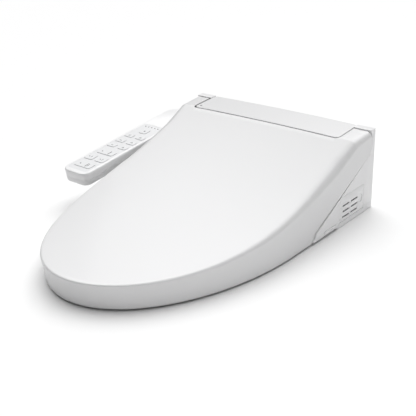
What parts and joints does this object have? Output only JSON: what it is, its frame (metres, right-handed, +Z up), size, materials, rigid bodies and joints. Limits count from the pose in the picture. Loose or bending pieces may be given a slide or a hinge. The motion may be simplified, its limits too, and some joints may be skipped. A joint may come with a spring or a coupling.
{
  "type": "electric bidet seat",
  "caption": "White electric bidet seat with a closed lid, heated seat, retracting wash nozzle, side vents and a fixed control arm, for bolting to a toilet bowl.",
  "frame": {"origin": "midway between the two fixing bolts at the underside, where the unit sits on the bowl", "axes": "+Z up, -Y towards the seat's nose, -X towards the control arm"},
  "size_m": [0.4523, 0.5334, 0.1439],
  "materials": {
    "shell_white": "gloss",
    "seat_white": "gloss",
    "case_white": "satin",
    "arm_white": "satin",
    "key_white": "satin",
    "overlay": "satin",
    "nozzle_white": "gloss",
    "gear_white": "satin",
    "dark_plastic": "matte",
    "tank_plastic": "satin",
    "hose": "matte",
    "rubber_grey": "matte",
    "rubber_clear": "satin",
    "foil": "foil",
    "steel": "brushed",
    "brass": "machined",
    "board_green": "satin",
    "carbon": "porous",
    "lens_dark": "gloss"
  },
  "bodies": {
    "case": {"lower_case": "case_white", "upper_case": "case_white", "top_panel": "shell_white", "status_lens": "lens_dark", "seat_damper": "dark_plastic", "lid_damper": "dark_plastic", "hinge_shafts": "steel", "mounting_plate": "dark_plastic", "nozzle_motor": "steel", "nozzle_guide": "dark_plastic", "water_tank": "tank_plastic", "tank_lid": "tank_plastic", "tank_float_switch": "tank_plastic", "tank_heater": "steel", "inlet_fitting": "brass", "inlet_strainer": "steel", "solenoid_valve": "dark_plastic", "diverter_valve": "dark_plastic", "hot_water_hose": "hose", "tank_supply_hose": "hose", "drain_plug": "case_white", "main_board": "board_green", "power_supply": "dark_plastic", "power_gland": "rubber_grey", "seat_switch": "dark_plastic", "fan_housing": "dark_plastic", "arm_upper": "arm_white", "arm_overlay": "overlay", "arm_lamps": "lens_dark", "arm_lower": "arm_white", "arm_board": "board_green", "arm_bracket": "arm_white", "arm_screw_caps": "rubber_grey"},
    "seat": {"seat_upper_shell": "seat_white", "seat_lower_shell": "seat_white", "seat_heater": "foil", "seat_bumpers": "rubber_grey"},
    "lid": {"lid": "shell_white", "lid_bumpers": "rubber_clear"},
    "nozzle": {"nozzle_wand": "nozzle_white", "nozzle_tip": "nozzle_white", "nozzle_rack": "nozzle_white"},
    "pinion": {"nozzle_pinion": "gear_white", "pinion_shaft": "steel"},
    "rotor": {"fan_rotor": "gear_white"},
    "cassette": {"filter_cassette": "case_white", "carbon_filter": "carbon"},
    "release": {"release_button": "case_white"},
    "key_stop": {"key_stop": "key_white"},
    "key_rear_wash": {"key_rear_wash": "key_white"},
    "key_front_wash": {"key_front_wash": "key_white"},
    "key_dry": {"key_dry": "key_white"},
    "key_pressure_down": {"key_pressure_down": "key_white"},
    "key_pressure_up": {"key_pressure_up": "key_white"},
    "key_nozzle_back": {"key_nozzle_back": "key_white"},
    "key_nozzle_forward": {"key_nozzle_forward": "key_white"},
    "key_seat_heat": {"key_seat_heat": "key_white"},
    "key_water_heat": {"key_water_heat": "key_white"},
    "key_power": {"key_power": "key_white"}
  },
  "joints": [
    {"name": "seat_hinge", "type": "hinge", "parent": "case", "child": "seat", "pos_m": [0, 0.022, 0.122], "axis": [-1, 0, 0], "range_deg": [0, 105]},
    {"name": "lid_hinge", "type": "hinge", "parent": "seat", "child": "lid", "pos_m": [0, 0.022, 0.122], "axis": [1, 0, 0], "range_deg": [-108, 0]},
    {"name": "nozzle_slide", "type": "slide", "parent": "case", "child": "nozzle", "axis": [0, -0.866, -0.5], "range_m": [0, 0.1]},
    {"name": "pinion_spin", "type": "hinge", "parent": "case", "child": "pinion", "pos_m": [0, -0.06841, 0.05651], "axis": [1, 0, 0], "range_deg": [-720, 0]},
    {"name": "fan_spin", "type": "hinge", "parent": "case", "child": "rotor", "pos_m": [0.1345, -0.008, 0.04], "axis": [1, 0, 0], "continuous": true},
    {"name": "cassette_slide", "type": "slide", "parent": "case", "child": "cassette", "axis": [1, 0, 0], "range_m": [0, 0.024]},
    {"name": "release_press", "type": "slide", "parent": "case", "child": "release", "axis": [-1, 0, 0], "range_m": [0, 0.004], "stiffness_N_per_m": 500},
    {"name": "key_stop_press", "type": "slide", "parent": "case", "child": "key_stop", "axis": [0, 0.1123, -0.9937], "range_m": [0, 0.0008], "stiffness_N_per_m": 1000},
    {"name": "key_rear_wash_press", "type": "slide", "parent": "case", "child": "key_rear_wash", "axis": [0, 0.1123, -0.9937], "range_m": [0, 0.0008], "stiffness_N_per_m": 1000},
    {"name": "key_front_wash_press", "type": "slide", "parent": "case", "child": "key_front_wash", "axis": [0, 0.1123, -0.9937], "range_m": [0, 0.0008], "stiffness_N_per_m": 1000},
    {"name": "key_dry_press", "type": "slide", "parent": "case", "child": "key_dry", "axis": [0, 0.1123, -0.9937], "range_m": [0, 0.0008], "stiffness_N_per_m": 1000},
    {"name": "key_pressure_down_press", "type": "slide", "parent": "case", "child": "key_pressure_down", "axis": [0, 0.1123, -0.9937], "range_m": [0, 0.0008], "stiffness_N_per_m": 1000},
    {"name": "key_pressure_up_press", "type": "slide", "parent": "case", "child": "key_pressure_up", "axis": [0, 0.1123, -0.9937], "range_m": [0, 0.0008], "stiffness_N_per_m": 1000},
    {"name": "key_nozzle_back_press", "type": "slide", "parent": "case", "child": "key_nozzle_back", "axis": [0, 0.1123, -0.9937], "range_m": [0, 0.0008], "stiffness_N_per_m": 1000},
    {"name": "key_nozzle_forward_press", "type": "slide", "parent": "case", "child": "key_nozzle_forward", "axis": [0, 0.1123, -0.9937], "range_m": [0, 0.0008], "stiffness_N_per_m": 1000},
    {"name": "key_seat_heat_press", "type": "slide", "parent": "case", "child": "key_seat_heat", "axis": [0, 0.1123, -0.9937], "range_m": [0, 0.0008], "stiffness_N_per_m": 1000},
    {"name": "key_water_heat_press", "type": "slide", "parent": "case", "child": "key_water_heat", "axis": [0, 0.1123, -0.9937], "range_m": [0, 0.0008], "stiffness_N_per_m": 1000},
    {"name": "key_power_press", "type": "slide", "parent": "case", "child": "key_power", "axis": [0, 0.1123, -0.9937], "range_m": [0, 0.0008], "stiffness_N_per_m": 1000}
  ],
  "couplings": [
    {"joint": "pinion_spin", "follows": "nozzle_slide", "rad_per_m": -125}
  ]
}
